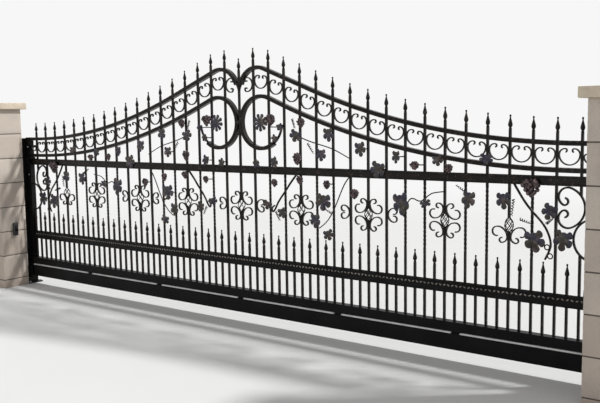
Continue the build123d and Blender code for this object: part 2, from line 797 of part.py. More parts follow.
# Two cheeks on the receiving post that the end of the leaf slides between
def catch(low_z, high_z, half_gap):
    outer = half_gap + catch_wall
    far = post_high_x + post_gap + catch_length
    back = block((post_high_x, -outer, low_z), (post_high_x + post_gap / 2, outer, high_z))
    for side in (-1, 1):
        low_y, high_y = sorted((side * half_gap, side * outer))
        back = back + block((post_high_x, low_y, low_z), (far, high_y, high_z))
    return back


lower_catch = catch(ground_gap - catch_drop, track_top - catch_drop, track_half + catch_clearance)
upper_catch = catch(upper_catch_low, upper_catch_low + upper_catch_height, stile_half + catch_clearance)
save("lower_catch", [lower_catch])
save("upper_catch", [upper_catch])


# Carriage: a plate on the ground, a neck through the slot and four wheels inside the track
def carriage(x):
    plate = floor_plate(x, 0, carriage_length, track_width + 2 * plate_side_margin)
    axle_z = track_top - track_wall - wheel_play - wheel_diameter / 2
    axle_radius = axle_diameter / 2
    neck_half = carriage_neck / 2
    neck_low = (x - neck_length / 2, -neck_half, plate_thickness)
    body = plate + block(neck_low, (x + neck_length / 2, neck_half, axle_z + neck_over_axle))
    wheels = []
    for ahead in (-1, 1):
        axle_place = Pos(x + ahead * wheel_base / 2, 0, axle_z) * Rot(90, 0, 0)
        body = body + axle_place * Cylinder(axle_radius, carriage_neck + 2 * wheel_width)
        ring = Cylinder(wheel_diameter / 2, wheel_width) - Cylinder(axle_radius, wheel_width)
        for side in (-1, 1):
            wheels.append(axle_place * Pos(0, 0, side * (neck_half + wheel_width / 2)) * ring)
    return body, wheels


front_body, front_wheels = carriage(front_carriage)
rear_body, rear_wheels = carriage(rear_carriage)
save("front_carriage", [front_body])
save("front_carriage_wheels", front_wheels)
save("rear_carriage", [rear_body])
save("rear_carriage_wheels", rear_wheels)

# Side guides at the relief rail: one roller on the pillar, one on a low post in the yard
guide_radius = guide_diameter / 2
guide_x = front_carriage
front_roller_y = -rail_half - guide_play - guide_radius
rear_roller_y = rail_half + guide_play + guide_radius
pillar_back = pillar_depth / 2 - leaf_y
guide_middle = (relief_low + relief_top) / 2


def guide_roller(y):
    ring = Cylinder(guide_radius, relief_rail_height) - Cylinder(guide_pin / 2, relief_rail_height)
    return Pos(guide_x, y, guide_middle) * ring


def guide_arms(near_y, roller_y):
    low_y, high_y = sorted((near_y, roller_y + math.copysign(guide_pin, roller_y - near_y)))
    half = guide_arm_width / 2
    arms = Pos(guide_x, roller_y, guide_middle) * Cylinder(guide_pin / 2, relief_rail_height)
    for low, high in ((relief_low - guide_arm, relief_low), (relief_top, relief_top + guide_arm)):
        arms = arms + block((guide_x - half, low_y, low), (guide_x + half, high_y, high))
    return arms


guide_plate_face = pillar_back + guide_plate_thickness
guide_plate_low = (guide_x - guide_plate_width / 2, pillar_back, relief_low - guide_plate_margin)
guide_plate_high = (guide_x + guide_plate_width / 2, guide_plate_face, relief_top + guide_plate_margin)
guide_plate = block(guide_plate_low, guide_plate_high)
guide_post_near = track_half + plate_side_margin
guide_post_half = guide_post_size / 2
guide_post_low = (guide_x - guide_post_half, guide_post_near, plate_thickness)
guide_post_high = (guide_x + guide_post_half, guide_post_near + guide_post_size, relief_top + guide_post_rise)
guide_foot = guide_post_size + 2 * plate_margin
guide_foot_y = guide_post_near + guide_foot / 2
guide_post_plate = floor_plate(guide_x, guide_foot_y, guide_foot, guide_foot)
guide_post = block(guide_post_low, guide_post_high) + guide_post_plate
save("front_guide_bracket", [guide_plate + guide_arms(guide_plate_face, front_roller_y)])
save("front_guide_roller", [guide_roller(front_roller_y)])
save("guide_post", [guide_post])
save("rear_guide_bracket", [guide_arms(guide_post_near, rear_roller_y)])
save("rear_guide_roller", [guide_roller(rear_roller_y)])


# Light beam eyes that face each other on the inner faces of the pillars
def beam_eye(side):
    low_x, high_x = sorted((side * opening_half, side * (opening_half - eye_depth)))
    return block((low_x, -eye_width / 2, eye_level), (high_x, eye_width / 2, eye_level + eye_height))


save("beam_eyes", [beam_eye(-1), beam_eye(1)], False)
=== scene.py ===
import math
import random

import bmesh
import bpy
from mathutils import Matrix, Vector, noise


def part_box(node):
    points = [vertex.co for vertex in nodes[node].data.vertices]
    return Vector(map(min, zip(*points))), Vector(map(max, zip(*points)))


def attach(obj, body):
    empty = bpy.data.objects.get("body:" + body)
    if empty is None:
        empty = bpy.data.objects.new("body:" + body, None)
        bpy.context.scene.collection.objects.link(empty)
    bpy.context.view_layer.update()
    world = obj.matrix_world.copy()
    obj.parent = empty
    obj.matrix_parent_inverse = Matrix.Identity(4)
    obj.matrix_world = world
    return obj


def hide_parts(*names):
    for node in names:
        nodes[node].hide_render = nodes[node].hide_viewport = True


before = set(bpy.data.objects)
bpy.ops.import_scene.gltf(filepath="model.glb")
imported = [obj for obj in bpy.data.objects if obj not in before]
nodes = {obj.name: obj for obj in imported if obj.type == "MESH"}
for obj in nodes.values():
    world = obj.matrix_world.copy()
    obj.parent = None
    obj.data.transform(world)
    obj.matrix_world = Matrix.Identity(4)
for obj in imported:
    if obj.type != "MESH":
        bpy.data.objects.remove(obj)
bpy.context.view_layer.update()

mm = 0.001
hair = 0.01 * mm  # points nearer than this are one point

# places that several pieces share: the rails are read from the solids, the others are as built
railLow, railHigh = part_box("straight_rail")
reliefLow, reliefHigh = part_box("relief_rail")
leafX = (railLow.x + railHigh.x) / 2
leafY = (railLow.y + railHigh.y) / 2
panelLow = reliefHigh.z
panelHeight = railLow.z - reliefHigh.z
railTop = railHigh.z
barPitch = 76 * mm
barHalf = 8 * mm
ringCentre = (228 * mm, 1639 * mm)
ringRadius = 205 * mm


def inPanel(along, share):  # bar pitches from the middle bar, and a share of the panel's height
    return along * barPitch, panelLow + share * panelHeight


def overRail(along, rise):  # bar pitches from the middle bar, and mm above the straight rail
    return along * barPitch, railTop + rise * mm


def onLeaf(x, z, out=0.0):  # out is how far in front of the middle of the gate's leaf, in mm
    return Vector((leafX + x, leafY - out * mm, z))


# materials: every pattern reads Object coordinates, so it stays with its piece
black, white = (0.0,) * 3, (1.0,) * 3


def newMaterial(name, roughness, metallic=0.0, specular=0.5):
    material = bpy.data.materials.new(name)
    material.use_nodes = True
    tree = material.node_tree
    shader = tree.nodes["Principled BSDF"]
    shader.inputs["Roughness"].default_value = roughness
    shader.inputs["Metallic"].default_value = metallic
    shader.inputs["Specular IOR Level"].default_value = specular
    coords = tree.nodes.new("ShaderNodeTexCoord").outputs["Object"]
    return material, tree, shader, coords


def noiseNode(tree, coords, scale, detail=3.0, roughness=0.5):
    node = tree.nodes.new("ShaderNodeTexNoise")
    node.inputs["Scale"].default_value = scale
    node.inputs["Detail"].default_value = detail
    node.inputs["Roughness"].default_value = roughness
    tree.links.new(coords, node.inputs["Vector"])
    return node.outputs["Fac"]


def setCoat(shader, weight, roughness):
    shader.inputs["Coat Weight"].default_value = weight
    shader.inputs["Coat Roughness"].default_value = roughness


def rampNode(tree, factor, stops):  # each stop is a place from 0 to 1 and a colour
    node = tree.nodes.new("ShaderNodeValToRGB")
    ramp = node.color_ramp
    while len(ramp.elements) < len(stops):
        ramp.elements.new(0.5)
    for element, (place, colour) in zip(ramp.elements, stops):
        element.position = place
        element.color = (*colour, 1)
    tree.links.new(factor, node.inputs["Fac"])
    return node.outputs["Color"]


def mixNode(tree, kind, factor, first, second):
    node = tree.nodes.new("ShaderNodeMix")
    node.data_type = "RGBA"
    node.blend_type = kind
    if isinstance(factor, float):
        node.inputs[0].default_value = factor
    else:
        tree.links.new(factor, node.inputs[0])
    for socket, value in ((node.inputs[6], first), (node.inputs[7], second)):
        if isinstance(value, tuple):
            socket.default_value = (*value, 1)
        else:
            tree.links.new(value, socket)
    return node.outputs[2]


def bumpNode(tree, shader, height, strength, distance):
    node = tree.nodes.new("ShaderNodeBump")
    node.inputs["Strength"].default_value = strength
    node.inputs["Distance"].default_value = distance
    tree.links.new(height, node.inputs["Height"])
    tree.links.new(node.outputs["Normal"], shader.inputs["Normal"])
    tree.links.new(node.outputs["Normal"], shader.inputs["Coat Normal"])


def roughnessNode(tree, shader, factor, low, high):
    node = tree.nodes.new("ShaderNodeMapRange")
    node.inputs["To Min"].default_value = low
    node.inputs["To Max"].default_value = high
    tree.links.new(factor, node.inputs["Value"])
    tree.links.new(node.outputs["Result"], shader.inputs["Roughness"])


# forged iron under satin black paint; its light brown specks are partly rubbed places and partly
# painted glints
ironLook = {"dark": (0.0035, 0.0032, 0.0032), "light": (0.0165, 0.0125, 0.0105),
            "rub": (0.17, 0.13, 0.105), "rubShare": 0.32, "rubGlintScale": 52.0,
            "roughness": (0.26, 0.42), "metal": 0.35, "shine": 0.08, "gloss": 0.18,
            "hammer": 95.0, "hammerDepth": 0.0008}
# plain black paint of the rolled beams and posts
beamLook = {"dark": (0.0032, 0.0032, 0.0034), "light": (0.0085, 0.0085, 0.009),
            "roughness": (0.36, 0.50), "metal": 0.1, "shine": 0.08, "gloss": 0.05,
            "hammer": 420.0, "hammerDepth": 0.00012}
# embossed places that are rubbed nearly bare; their light colour is partly a painted glint
rubbedGlintLook = {"dark": (0.040, 0.034, 0.030), "light": (0.30, 0.265, 0.235),
              "roughness": (0.22, 0.36), "metal": 0.6, "shine": 0.6, "gloss": 0.6,
              "hammer": 140.0, "hammerDepth": 0.0004}


def makeIron(name, look):
    material, tree, shader, coords = newMaterial(name, roughness=0.4, metallic=look["metal"],
                                                 specular=look["shine"])
    setCoat(shader, weight=look["gloss"], roughness=0.2)
    broad = noiseNode(tree, coords, scale=5.0, detail=4.0, roughness=0.55)
    colour = rampNode(tree, broad, [(0.3, look["dark"]), (0.75, look["light"])])
    # light brown specks: partly rubbed places, partly painted glints
    if "rub" in look:
        spots = noiseNode(tree, coords, scale=look["rubGlintScale"], roughness=0.6)
        rubbed = rampNode(tree, spots, [(0.58, black), (0.72, (look["rubShare"],) * 3)])
        colour = mixNode(tree, "MIX", rubbed, colour, look["rub"])
    tree.links.new(colour, shader.inputs["Base Color"])
    roughnessNode(tree, shader, noiseNode(tree, coords, scale=38.0), *look["roughness"])
    hammer = noiseNode(tree, coords, scale=look["hammer"], detail=2.5, roughness=0.45)
    bumpNode(tree, shader, hammer, strength=0.55, distance=look["hammerDepth"])
    return material


ironPaint = makeIron("satin black iron with painted glint specks", ironLook)
beamPaint = makeIron("smooth black beam paint", beamLook)
rubbedGlintIron = makeIron("rubbed iron with painted glints", rubbedGlintLook)

# patina of the cast leaves and grapes: each has its own tint, with lighter rubbed places
leafLook = {"tints": ((0.36, (0.015, 0.011, 0.024)), (0.46, (0.024, 0.022, 0.044)),
                      (0.54, (0.036, 0.034, 0.024)), (0.64, (0.028, 0.018, 0.014))),
            "rub": (0.210, 0.155, 0.150), "rubShare": 0.7, "spread": 11.0, "patch": 30.0,
            "fleck": 270.0}
grapeLook = {"tints": ((0.36, (0.022, 0.014, 0.017)), (0.5, (0.082, 0.054, 0.058)),
                       (0.64, (0.110, 0.074, 0.074))),
             "rub": (0.32, 0.23, 0.22), "rubShare": 0.8, "spread": 28.0, "patch": 46.0,
             "fleck": 414.0}


def makePatina(name, look):
    material, tree, shader, coords = newMaterial(name, roughness=0.42, metallic=0.4, specular=0.3)
    setCoat(shader, weight=0.3, roughness=0.22)
    patch = noiseNode(tree, coords, scale=look["patch"], detail=5.0, roughness=0.62)
    fleck = noiseNode(tree, coords, scale=look["fleck"], roughness=0.6)
    tint = rampNode(tree, noiseNode(tree, coords, scale=look["spread"], detail=1.0), look["tints"])
    rubbed = rampNode(tree, patch, [(0.52, black), (0.74, (look["rubShare"],) * 3)])
    base = mixNode(tree, "MIX", rubbed, tint, look["rub"])
    dark = rampNode(tree, fleck, [(0.3, (0.45, 0.45, 0.5)), (0.65, white)])
    tree.links.new(mixNode(tree, "MULTIPLY", 0.45, base, dark), shader.inputs["Base Color"])
    roughnessNode(tree, shader, fleck, low=0.3, high=0.55)
    bumpNode(tree, shader, fleck, strength=0.5, distance=0.0006)
    return material


leafPatina = makePatina("rubbed leaf patina", leafLook)
grapePatina = makePatina("plum grape patina", grapeLook)

# split concrete block, pinkish beige with grey weathering; each block has its own shade
blockLook = {"warm": (0.47, 0.39, 0.33), "pale": (0.60, 0.53, 0.46), "grey": (0.36, 0.33, 0.31),
             "greyShare": 0.55}


def makeBlock(look):
    material, tree, shader, coords = newMaterial("split block", roughness=0.9, specular=0.25)
    broad = noiseNode(tree, coords, scale=2.6, detail=5.0, roughness=0.6)
    grain = noiseNode(tree, coords, scale=260.0, detail=4.0, roughness=0.7)
    speck = noiseNode(tree, coords, scale=70.0, detail=6.0, roughness=0.75)
    attribute = tree.nodes.new("ShaderNodeAttribute")
    attribute.attribute_name = "blockShade"
    base = mixNode(tree, "MIX", attribute.outputs["Fac"], look["warm"], look["pale"])
    where = rampNode(tree, broad, [(0.42, black), (0.78, (look["greyShare"],) * 3)])
    stain = mixNode(tree, "MIX", where, base, look["grey"])
    dark = rampNode(tree, grain, [(0.3, (0.72, 0.72, 0.72)), (0.6, white)])
    tree.links.new(mixNode(tree, "MULTIPLY", 0.75, stain, dark), shader.inputs["Base Color"])
    bumpNode(tree, shader, mixNode(tree, "MIX", 0.5, grain, speck), strength=0.8, distance=0.0022)
    return material


# how much darker, smoother and rougher the plain finishes get in places
plainLook = {"darker": 0.72, "smoother": 0.06, "rougher": 0.08}


def makePlain(name, colour, roughness, grain, depth, metallic=0.0, look=plainLook):
    material, tree, shader, coords = newMaterial(name, roughness, metallic)
    broad = noiseNode(tree, coords, scale=14.0, detail=4.0, roughness=0.6)
    darker = tuple(part * look["darker"] for part in colour)
    shade = rampNode(tree, broad, [(0.25, darker), (0.75, colour)])
    tree.links.new(shade, shader.inputs["Base Color"])
    fine = noiseNode(tree, coords, scale=grain, roughness=0.6)
    low, high = roughness - look["smoother"], roughness + look["rougher"]
    roughnessNode(tree, shader, fine, low, high)
    bumpNode(tree, shader, fine, strength=0.5, distance=depth)
    return material


blockStone = makeBlock(blockLook)
mortarMix = makePlain("grey mortar", (0.12, 0.105, 0.09), roughness=0.92, grain=180.0, depth=0.001)
capStone = makePlain("cast cap stone", (0.66, 0.565, 0.44), roughness=0.82, grain=150.0,
                     depth=0.0012)
zincSteel = makePlain("zinc plated steel", (0.42, 0.43, 0.44), roughness=0.38, metallic=0.9,
                      grain=90.0, depth=0.0001)
blackNylon = makePlain("black nylon", (0.03, 0.03, 0.032), roughness=0.5, grain=500.0, depth=0.0001)
eyeCase = makePlain("eye case", (0.022, 0.022, 0.024), roughness=0.55, grain=900.0, depth=0.0001)
eyeWindow = makePlain("black window", (0.008, 0.008, 0.009), roughness=0.12, grain=60.0,
                      depth=0.00001)
# a pale strip of painted light for the slot under the beam
paintedSlotLight = makePlain("pale strip painted as light in the slot", (0.72, 0.73, 0.72), roughness=0.42, metallic=0.2,
                       grain=120.0, depth=0.0001)
print("materials ready:", len(bpy.data.materials))

# ways of making a piece that several pieces share


def addPiece(name, bm, materials, body, replaced=(), sharp=35):
    bmesh.ops.remove_doubles(bm, verts=bm.verts, dist=hair)
    bmesh.ops.recalc_face_normals(bm, faces=bm.faces)
    for face in bm.faces:
        face.smooth = True
    for edge in bm.edges:
        if len(edge.link_faces) == 2 and edge.calc_face_angle(0) > math.radians(sharp):
            edge.smooth = False
    mesh = bpy.data.meshes.new(name)
    bm.to_mesh(mesh)
    bm.free()
    for material in materials:
        mesh.materials.append(material)
    piece = bpy.data.objects.new(name, mesh)
    bpy.context.scene.collection.objects.link(piece)
    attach(piece, body)
    if replaced:
        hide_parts(*replaced)
    print("piece", name, len(mesh.polygons), "faces")
    return piece


def addBox(bm, low, high, bevel=0.0, segments=2):
    middle = [(a + b) / 2 for a, b in zip(low, high)]
    size = [b - a for a, b in zip(low, high)]
    place = Matrix.Translation(middle) @ Matrix.Diagonal((*size, 1))
    verts = bmesh.ops.create_cube(bm, size=1, matrix=place)["verts"]
    edges = list({edge for vert in verts for edge in vert.link_edges})
    if bevel:
        made = bmesh.ops.bevel(bm, geom=edges, offset=bevel, segments=segments, profile=0.5,
                               affect="EDGES", material=-1)
        return list({vert for face in made["faces"] for vert in face.verts})
    return verts


def addTurned(bm, profile, place, steps=12):  # radii and heights in mm, about an upright line
    verts = [bm.verts.new(place + Vector((r * mm, 0, h * mm))) for r, h in profile]
    edges = [bm.edges.new(pair) for pair in zip(verts, verts[1:])]
    bmesh.ops.spin(bm, geom=verts + edges, cent=place, axis=(0, 0, 1), angle=math.tau, steps=steps,
                   use_merge=True)


def joinPart(bm, part):  # moves a part that was shaped on its own into the piece
    mesh = bpy.data.meshes.new("part")
    part.to_mesh(mesh)
    part.free()
    bm.from_mesh(mesh)
    bpy.data.meshes.remove(mesh)


def addRods(bm, runs, sides=8, smoothness=5):  # each run is a list of places and radii in mm
    curve = bpy.data.curves.new("rods", "CURVE")
    curve.dimensions = "3D"
    curve.bevel_depth = mm
    curve.bevel_resolution = sides // 2 - 2
    curve.use_fill_caps = True
    curve.resolution_u = smoothness
    for run in runs:
        spline = curve.splines.new("NURBS")
        spline.points.add(len(run) - 1)
        for point, (place, radius) in zip(spline.points, run):
            point.co = (*place, 1)
            point.radius = radius
        spline.order_u = 3
        spline.use_endpoint_u = True
    holder = bpy.data.objects.new("rods", curve)
    mesh = bpy.data.meshes.new_from_object(holder)
    bm.from_mesh(mesh)
    bpy.data.objects.remove(holder)
    bpy.data.curves.remove(curve)
    bpy.data.meshes.remove(mesh)


def bothHalves(spots):  # the same spots on both halves of the gate; the last item is the hand
    return [(*spot, 1) for spot in spots] + [(*spot, -1) for spot in spots]


# pillars: split blocks course by course over a recessed core
pillarLook = {"course": 244.5 * mm, "courses": 8, "firstJoint": {"left": 82 * mm, "right": 48 * mm},
              "joint": 6 * mm, "recess": 7 * mm, "edge": 3.5 * mm, "edgeReach": 18 * mm,
              "split": 3.2 * mm, "splitScale": 34, "grainScale": 90, "grainShare": 0.35,
              "shift": 3.1, "bedShare": 0.35, "bedReach": 20 * mm, "cuts": 13,
              "shades": (0.15, 0.55, 0.3, 0.75, 0.45, 0.9, 0.6, 0.8)}
capLook = {"edge": 7 * mm, "pitting": 1.2 * mm, "pitScale": 45, "cuts": 22, "cutOver": 50 * mm}
faceDepth = 0.1 * mm  # a point this near a face of the block lies on that face


def addPillar(side, look):
    low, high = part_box(side + "_pillar")
    bm = bmesh.new()
    shade = bm.faces.layers.float.new("blockShade")
    recess = Vector((look["recess"], look["recess"], 0))
    addBox(bm, low + recess, high - recess)
    for face in bm.faces:
        face.material_index = 1
    first = look["firstJoint"][side]
    joints = [first + course * look["course"] for course in range(look["courses"])]
    floors = [low.z] + joints
    for course, (foot, head) in enumerate(zip(floors, floors[1:])):
        before = set(bm.faces)
        foot = foot + (look["joint"] / 2 if course else 0)
        head = head - (look["joint"] / 2 if course < look["courses"] - 1 else 0)
        addBox(bm, Vector((low.x, low.y, foot)), Vector((high.x, high.y, head)))
        block = [face for face in bm.faces if face not in before]
        edges = list({edge for face in block for edge in face.edges})
        bmesh.ops.subdivide_edges(bm, edges=edges, cuts=look["cuts"], use_grid_fill=True)
        block = [face for face in bm.faces if face not in before]
        middle = Vector(((low.x + high.x) / 2, (low.y + high.y) / 2, (foot + head) / 2))
        half = Vector(((high.x - low.x) / 2, (high.y - low.y) / 2, (head - foot) / 2))
        for vert in {vert for face in block for vert in face.verts}:
            reach = vert.co - middle
            near = sorted(half[i] - abs(reach[i]) for i in range(3))
            shift = Vector((course * look["shift"], 0, 0))
            rough = 0.5 + 0.5 * noise.noise(vert.co * look["splitScale"] + shift)
            grain = 0.5 + 0.5 * noise.noise(vert.co * look["grainScale"])
            rough = (1 - look["grainShare"]) * rough + look["grainShare"] * grain
            drawIn = look["split"] * rough
            drawIn += look["edge"] * max(0.0, 1 - near[1] / look["edgeReach"]) ** 2
            for i in range(3):
                if half[i] - abs(reach[i]) < faceDepth and (i < 2 or near[1] < look["bedReach"]):
                    share = 1 if i < 2 else look["bedShare"]
                    vert.co[i] -= math.copysign(drawIn * share, reach[i])
        for face in block:
            face[shade] = look["shades"][course % len(look["shades"])]
            face.material_index = 0
    addPiece(side + "PillarBlocks", bm, [blockStone, mortarMix], "posts", [side + "_pillar"],
             sharp=60)


def addCap(side, look):
    low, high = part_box(side + "_pillar_cap")
    middle = (low + high) / 2
    bm = bmesh.new()
    addBox(bm, low, high, look["edge"], segments=3)
    bmesh.ops.bisect_plane(bm, geom=bm.verts[:] + bm.edges[:] + bm.faces[:], plane_co=middle,
                           plane_no=(0, 0, 1))
    long = [edge for edge in bm.edges if edge.calc_length() > look["cutOver"]]
    bmesh.ops.subdivide_edges(bm, edges=long, cuts=look["cuts"], use_grid_fill=True)
    for vert in bm.verts:
        pit = look["pitting"] * max(0.0, noise.noise(vert.co * look["pitScale"]))
        inward = (middle - vert.co).normalized()
        vert.co += Vector((0, 0, -pit)) if vert.co.z > high.z - 1 * mm else inward * pit
    addPiece(side + "PillarCap", bm, [capStone], "posts", [side + "_pillar_cap"],
             sharp=40)


for side in ("left", "right"):
    addPillar(side, pillarLook)
    addCap(side, capLook)

# square bars of the panel that are twisted over most of their length
twistLook = {"numbers": (4, 6, 10, 12, 20, 22, 26, 28, 32), "plainFoot": 213 * mm,
             "plainHead": 17 * mm, "quarterTurns": 15, "stepsInQuarter": 4, "corner": 1.6 * mm}


def addTwistedBar(bm, number, look):
    x = leafX + number * barPitch
    foot, head = panelLow, panelLow + panelHeight
    centre = Vector((x, leafY, foot))
    half, corner = barHalf, look["corner"]
    ring = []
    for across, up in ((1, 1), (-1, 1), (-1, -1), (1, -1)):
        pair = [(across * half, up * (half - corner)), (across * (half - corner), up * half)]
        ring.extend(pair if across * up > 0 else pair[::-1])
    verts = [bm.verts.new(centre + Vector((a, b, 0))) for a, b in ring]
    bm.faces.new(verts)
    loop = [bm.edges.get(pair) for pair in zip(verts, verts[1:] + verts[:1])]

    def lift(edges, height):
        made = bmesh.ops.extrude_edge_only(bm, edges=edges)["geom"]
        lifted = [v for v in made if isinstance(v, bmesh.types.BMVert)]
        bmesh.ops.translate(bm, verts=lifted, vec=(0, 0, height))
        return [e for e in made if isinstance(e, bmesh.types.BMEdge)
                and abs(e.verts[0].co.z - e.verts[1].co.z) < hair]

    loop = lift(loop, look["plainFoot"])
    steps = look["quarterTurns"] * look["stepsInQuarter"]
    rise = (head - foot - look["plainFoot"] - look["plainHead"]) / steps
    ends = list({v for e in loop for v in e.verts})
    last = bmesh.ops.spin(bm, geom=ends + loop, cent=centre, axis=(0, 0, 1), dvec=(0, 0, rise),
                          angle=look["quarterTurns"] * math.pi / 2, steps=steps)["geom_last"]
    loop = lift([e for e in last if isinstance(e, bmesh.types.BMEdge)], look["plainHead"])
    bmesh.ops.holes_fill(bm, edges=loop, sides=8)


bm = bmesh.new()
for number in twistLook["numbers"]:
    addTwistedBar(bm, number, twistLook)
    addTwistedBar(bm, -number, twistLook)
addPiece("twistedBars", bm, [ironPaint], "leaf", ["twisted_bars"], sharp=30)

# cast spear points on all the bars
spearLook = {"profile": ((0, 0), (8, 0), (10.6, 3), (10.6, 7.5), (7.6, 10.5), (8.6, 14), (13, 22),
                         (15, 30), (13.6, 40), (9.2, 56), (5.6, 70), (3.8, 79), (5.4, 83),
                         (6.6, 88), (5.4, 93.5), (0, 96))}


def spearTips(node):  # the height of each spear's tip, by the number of its bar
    tips = {}
    for vert in nodes[node].data.vertices:
        number = round((vert.co.x - leafX) / barPitch)
        tips[number] = max(tips.get(number, 0), vert.co.z)
    return tips


for node, name in (("long_bar_spears", "longBarSpears"), ("short_bar_spears", "shortBarSpears")):
    bm = bmesh.new()
    for number, tip in spearTips(node).items():
        foot = onLeaf(number * barPitch, tip - spearLook["profile"][-1][1] * mm)
        addTurned(bm, spearLook["profile"], foot)
    addPiece(name, bm, [ironPaint], "leaf", [node], sharp=50)

# baskets of four twisted wires between collars
basketLook = {"numbers": (0, 8, 16, 24, 30), "wires": 4, "firstTurn": 45, "twist": 150, "wire": 2.9,
              "bow": 29.0, "neck": 7.0, "belly": 0.8, "inset": 0.05, "points": 9,
              "collar": ((0, 0), (9, 0), (11, 2), (11, 7), (8.5, 9), (0, 9))}


def addBasket(bm, x, low, high, look):
    runs = []
    for wire in range(2 * look["wires"]):  # half of them wind to the left and half to the right
        run = []
        twist = look["twist"] if wire % 2 else -look["twist"]
        for step in range(look["points"]):
            share = step / (look["points"] - 1)
            degrees = 360 * (wire // 2) / look["wires"] + look["firstTurn"] + twist * share
            turn = math.radians(degrees)
            swell = math.sin(math.pi * share) ** look["belly"]
            reach = (look["neck"] + (look["bow"] - look["neck"]) * swell) * mm
            z = low + (high - low) * (look["inset"] + (1 - 2 * look["inset"]) * share)
            place = Vector((x + reach * math.cos(turn), leafY + reach * math.sin(turn), z))
            run.append((place, look["wire"]))
        runs.append(run)
    addRods(bm, runs, sides=6, smoothness=3)
    for foot in (low, high - look["collar"][-1][1] * mm):
        addTurned(bm, look["collar"], Vector((x, leafY, foot)))


bm = bmesh.new()
basketLow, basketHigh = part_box("baskets")
for number in basketLook["numbers"]:
    for hand in ((1, -1) if number else (1,)):
        addBasket(bm, leafX + hand * number * barPitch, basketLow.z, basketHigh.z, basketLook)
addPiece("basketWires", bm, [ironPaint], "leaf", ["baskets"], sharp=50)

# relief rail: a band between two mouldings with an embossed row along its upper half
reliefLook = {"back": 3.5 * mm, "moulding": 11 * mm, "footShare": 0.7, "bevel": 2.5 * mm,
              "rowShare": 0.64, "pitch": 30 * mm, "boss": (15 * mm, 5 * mm, 8 * mm),
              "bossRadius": 0.7, "lean": 34}


def addRelief(look):
    low, high = reliefLow, reliefHigh
    bm = bmesh.new()
    step = Vector((0, look["back"], 0))
    addBox(bm, low + step, high - step, bevel=1 * mm, segments=1)
    addBox(bm, Vector((low.x, low.y, high.z - look["moulding"])), high, look["bevel"])
    foot = look["moulding"] * look["footShare"]
    addBox(bm, low, Vector((high.x, high.y, low.z + foot)), look["bevel"])
    count = int((high.x - low.x) / look["pitch"]) - 1
    level = low.z + look["rowShare"] * (high.z - low.z)
    first = (low.x + high.x) / 2 - (count - 1) / 2 * look["pitch"]
    for y, out in ((low.y + look["back"], 1), (high.y - look["back"], -1)):
        for place in range(count):
            lean = math.radians(look["lean"] if place % 2 else -look["lean"])
            matrix = Matrix.Translation((first + place * look["pitch"], y, level))
            matrix = matrix @ Matrix.Rotation(lean * out, 4, "Y")
            matrix = matrix @ Matrix.Diagonal((*look["boss"], 1))
            before = set(bm.faces)
            bmesh.ops.create_uvsphere(bm, u_segments=8, v_segments=5, radius=look["bossRadius"],
                                      matrix=matrix)
            # the bosses take the rubbed finish whose light colour is partly a painted glint
            for face in set(bm.faces) - before:
                face.material_index = 1
    addPiece("reliefRailBand", bm, [beamPaint, rubbedGlintIron], "leaf", ["relief_rail"], sharp=40)


addRelief(reliefLook)

# straight rail: a plain band between a rounded cap moulding and a foot moulding
railLook = {"back": 4 * mm, "cap": 13 * mm, "foot": 9 * mm, "round": 4 * mm, "step": 2 * mm,
            "stepShare": 1.7}


def addStraightRail(look):
    low, high = railLow, railHigh
    bm = bmesh.new()
    step = Vector((0, look["back"], 0))
    addBox(bm, low + step, high - step, bevel=1 * mm, segments=1)
    addBox(bm, Vector((low.x, low.y, high.z - look["cap"])), high, look["round"], segments=4)
    addBox(bm, low, Vector((high.x, high.y, low.z + look["foot"])), look["round"], segments=3)
    inset = Vector((0, look["step"], 0))
    addBox(bm, Vector((low.x, low.y, low.z + look["foot"])) + inset,
           Vector((high.x, high.y, low.z + look["stepShare"] * look["foot"])) - inset,
           bevel=1 * mm, segments=1)
    addPiece("straightRailMoulding", bm, [ironPaint], "leaf", ["straight_rail"], sharp=40)


addStraightRail(railLook)

# beads along both faces of the arched rails, in mm and degrees; from the stile inwards each rail
# has a level end, a bend, a straight slope and a turn round a centre, which the crest counts from
# the top of its bow
archBeadLook = {"radius": 4.5, "out": 19.0, "bendSteps": 8, "turnStep": 10, "levelFrom": 2826,
                "rails": ({"centre": (228, 1639), "radius": 205, "end": (2710, 1328), "bend": 440,
                           "turn": 239, "fromTop": False},
                          {"centre": (194.5, 1890), "radius": 180, "end": (2760, 1494), "bend": 720,
                           "turn": 73, "fromTop": True})}
steepest = math.pi / 2.2
halvings = 60


def archSlope(centre, radius, endX, endZ, bend):  # the same search as the one that shapes the solid
    low, high = 0.0, steepest
    for halving in range(halvings):
        slope = (low + high) / 2
        leaveX, leaveZ = centre[0] + radius * math.sin(slope), centre[1] + radius * math.cos(slope)
        drop = (bend - leaveX) * math.tan(slope) + (endX - bend) * math.tan(slope / 2)
        low, high = (slope, high) if leaveZ - drop > endZ else (low, slope)
    return slope


def addArchBeads(look):
    bm = bmesh.new()
    runs = []
    for rail in look["rails"]:
        centre, radius, (endX, endZ) = rail["centre"], rail["radius"], rail["end"]
        slope = archSlope(centre, radius, endX, endZ, rail["bend"])
        bendRadius = (endX - rail["bend"]) / math.sin(slope)
        places = [(look["levelFrom"], endZ)]
        for step in range(look["bendSteps"] + 1):
            angle = slope * step / look["bendSteps"]
            rise = bendRadius * (1 - math.cos(angle))
            places.append((endX - bendRadius * math.sin(angle), endZ + rise))
        turn = rail["turn"] + (math.degrees(slope) if rail["fromTop"] else 0)
        count = int(turn / look["turnStep"])
        for step in range(count + 1):
            angle = math.pi / 2 - slope + math.radians(turn * step / count)
            across, up = radius * math.cos(angle), radius * math.sin(angle)
            places.append((centre[0] + across, centre[1] + up))
        for hand in (1, -1):
            for out in (look["out"], -look["out"]):
                runs.append([(onLeaf(hand * x * mm, z * mm, out), look["radius"])
                             for x, z in places])
    addRods(bm, runs)
    addPiece("archedRailBeads", bm, [ironPaint], "leaf", sharp=60)


addArchBeads(archBeadLook)

